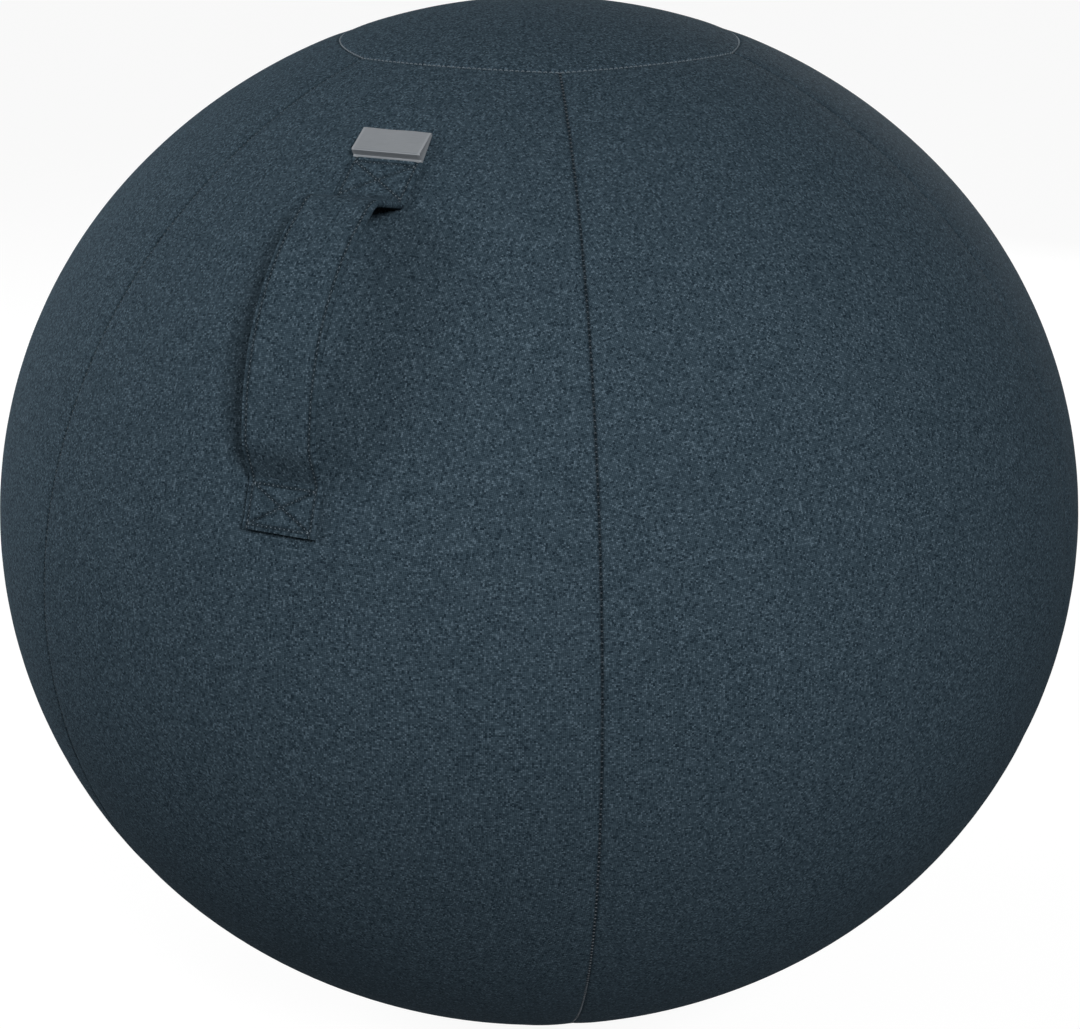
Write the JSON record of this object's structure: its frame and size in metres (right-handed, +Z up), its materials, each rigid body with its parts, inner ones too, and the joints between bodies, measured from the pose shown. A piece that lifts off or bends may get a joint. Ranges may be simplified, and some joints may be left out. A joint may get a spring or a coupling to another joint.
{
  "type": "sitting ball",
  "caption": "Inflatable sitting ball in a zipped cloth cover of sewn gores, with a webbing carry handle and a weighted, non-slip base.",
  "frame": {"origin": "on the floor under the ball's centre", "axes": "+Z up along the ball's axis, -Y towards the handle at the front, +X to the right of someone facing the handle"},
  "size_m": [0.65, 0.65, 0.6304],
  "materials": {
    "cover_cloth": "woven polyester, dark slate blue",
    "base_cloth": "dark base cloth with printed grip dots",
    "handle_webbing": "doubled webbing covered in the cover's cloth",
    "label_satin": "grey woven satin, folded, bare",
    "ring_rubber": "matt rubber",
    "ball_vinyl": "soft vinyl, satin",
    "zip_tape": "woven polyester tape",
    "zip_coil": "nylon coil",
    "zip_metal": "nickel-plated, satin",
    "plug_plastic": "white moulded plastic"
  },
  "bodies": {
    "cover": {"top_panel": "cover_cloth", "gore_panel_1": "cover_cloth", "gore_panel_2": "cover_cloth", "gore_panel_3": "cover_cloth", "gore_panel_4": "cover_cloth", "gore_panel_5": "cover_cloth", "gore_panel_6": "cover_cloth", "base_panel": "base_cloth", "ring_channel": "base_cloth", "weight_ring": "ring_rubber", "zip_tape_upper": "zip_tape", "zip_tape_lower": "zip_tape", "zip_coil_upper": "zip_coil", "zip_coil_lower": "zip_coil", "zip_stops": "zip_metal", "handle_end_upper": "handle_webbing", "handle_end_lower": "handle_webbing", "inner_ball": "ball_vinyl", "valve_seat": "ball_vinyl"},
    "slider": {"zip_slider": "zip_metal"},
    "pull": {"zip_pull": "zip_metal"},
    "handle": {"handle_loop": "handle_webbing"},
    "tag": {"label": "label_satin"},
    "plug": {"valve_plug": "plug_plastic"}
  },
  "joints": [
    {"name": "zip_run", "type": "hinge", "parent": "cover", "child": "slider", "pos_m": [0, 0, 0.0326], "axis": [0, 0, 1], "range_deg": [0, 260]},
    {"name": "zip_pull_flap", "type": "hinge", "parent": "slider", "child": "pull", "pos_m": [0.02089, 0.11826, 0.02947], "axis": [-0.1536, -0.8695, -0.4695], "range_deg": [-80, 80]},
    {"name": "handle_swing", "type": "hinge", "parent": "cover", "child": "handle", "pos_m": [0, -0.30117, 0.44263], "axis": [0, 0.615, 0.7885], "range_deg": [-20, 20], "stiffness_Nm_per_rad": 0.2},
    {"name": "label_flip", "type": "hinge", "parent": "cover", "child": "tag", "pos_m": [0, -0.18824, 0.57387], "axis": [1, 0, 0], "range_deg": [0, 90]},
    {"name": "plug_pull", "type": "slide", "parent": "cover", "child": "plug", "axis": [0, 0, -1], "range_m": [0, 0.01]}
  ]
}
